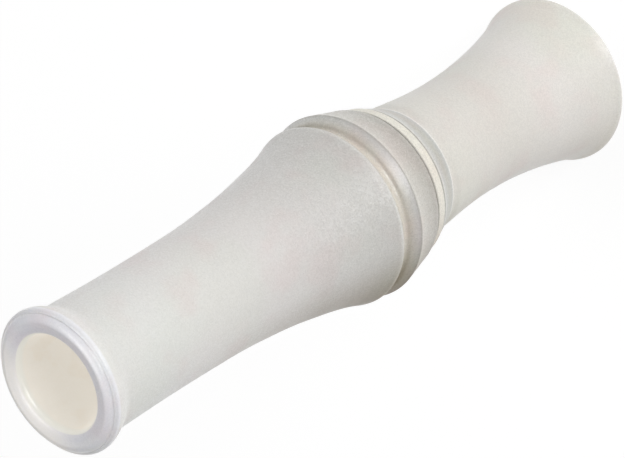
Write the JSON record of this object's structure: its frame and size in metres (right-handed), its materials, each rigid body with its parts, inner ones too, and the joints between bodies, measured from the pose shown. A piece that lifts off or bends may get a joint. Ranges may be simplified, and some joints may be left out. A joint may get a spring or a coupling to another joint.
{
  "type": "duck call",
  "caption": "Double-reed duck call: flared-lip barrel pushed on a bell-mouthed insert that carries a tone board, film reeds, a cork wedge and seal rings.",
  "frame": {"origin": "centre of the flat bell rim, which the call stands on", "axes": "+Z along the call's axis from the bell to the mouthpiece; +Y from the tone board's flat towards the reeds and the wedge; +X across the reeds"},
  "size_m": [0.0354, 0.0354, 0.14],
  "materials": {
    "barrel_plastic": "frosted pearl white with a fine metallic grain, slightly translucent",
    "insert_plastic": "smooth satin pearl, a little warmer than the barrel",
    "tone_board_plastic": "clear natural, machined satin",
    "reed_film": "milky polyester film",
    "wedge_cork": "fine cork",
    "o_ring_rubber": "black nitrile"
  },
  "bodies": {
    "insert": {"insert": "insert_plastic", "tone_board": "tone_board_plastic", "reed_wedge": "wedge_cork"},
    "seals": {"front_o_ring": "o_ring_rubber", "rear_o_ring": "o_ring_rubber"},
    "barrel": {"barrel": "barrel_plastic"},
    "lower_reed": {"lower_reed": "reed_film"},
    "upper_reed": {"upper_reed": "reed_film"}
  },
  "joints": [
    {"name": "barrel_twist", "type": "hinge", "parent": "insert", "child": "seals", "pos_m": [0, 0, 0.06875], "axis": [0, 0, 1], "continuous": true},
    {"name": "barrel_pull", "type": "slide", "parent": "seals", "child": "barrel", "axis": [0, 0, 1], "range_m": [0, 0.075]},
    {"name": "lower_reed_flex", "type": "hinge", "parent": "insert", "child": "lower_reed", "pos_m": [0, 0.00042, 0.0835], "axis": [1, 0, 0], "range_deg": [-0.5, 1.5], "stiffness_Nm_per_rad": 0.05},
    {"name": "upper_reed_flex", "type": "hinge", "parent": "insert", "child": "upper_reed", "pos_m": [0, 0.001, 0.0835], "axis": [1, 0, 0], "range_deg": [-0.5, 1.5], "stiffness_Nm_per_rad": 0.05}
  ],
  "couplings": [
    {"joint": "upper_reed_flex", "follows": "lower_reed_flex", "ratio": 1}
  ]
}
